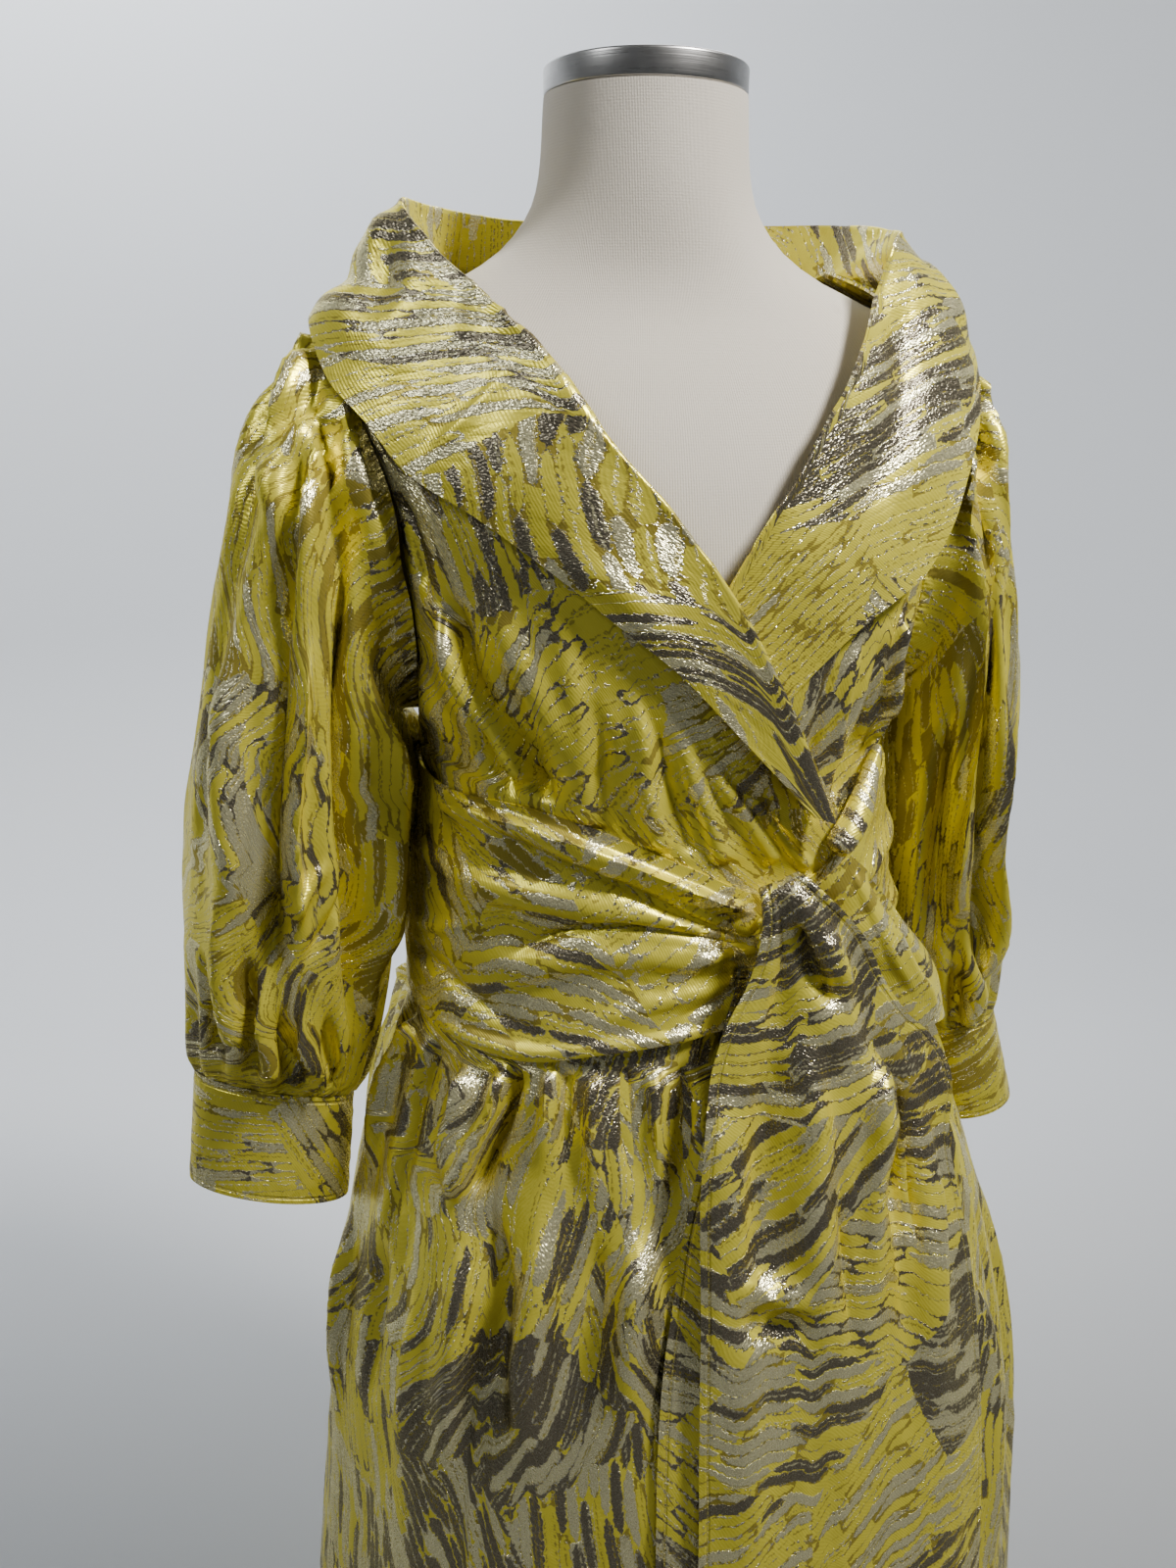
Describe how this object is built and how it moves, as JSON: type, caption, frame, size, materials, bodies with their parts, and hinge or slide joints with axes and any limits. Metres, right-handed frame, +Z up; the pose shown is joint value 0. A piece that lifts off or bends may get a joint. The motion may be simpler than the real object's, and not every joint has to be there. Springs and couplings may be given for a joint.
{
  "type": "wrap evening gown on a dress form",
  "caption": "Long wrap evening gown with a wide portrait collar, puffed elbow sleeves and a knotted sash, standing on a limbless dress form.",
  "frame": {"origin": "centre of the dress form's base disc, on the floor under the neck", "axes": "+Z up, -Y is the gown's front, +X is its wearer's left"},
  "size_m": [0.6673, 0.583, 1.5344],
  "materials": {
    "jacquard": "lemon and taupe metallic jacquard with a satin sheen",
    "jersey": "matte ivory jersey cover",
    "steel": "brushed"
  },
  "bodies": {
    "root": {"form_torso": "jersey", "form_cap": "steel", "form_pole": "steel", "form_base": "steel", "bodice_front_right": "jacquard", "bodice_front_left": "jacquard", "bodice_back": "jacquard", "collar_right": "jacquard", "collar_left": "jacquard", "sleeve_right": "jacquard", "sleeve_left": "jacquard", "cuff_right": "jacquard", "cuff_left": "jacquard", "skirt_front_right": "jacquard", "skirt_front_left": "jacquard", "skirt_back": "jacquard", "sash_band": "jacquard", "sash_roll": "jacquard", "sash_knot": "jacquard", "sash_loop": "jacquard", "tail_front": "jacquard", "tail_back": "jacquard"}
  },
  "joints": []
}
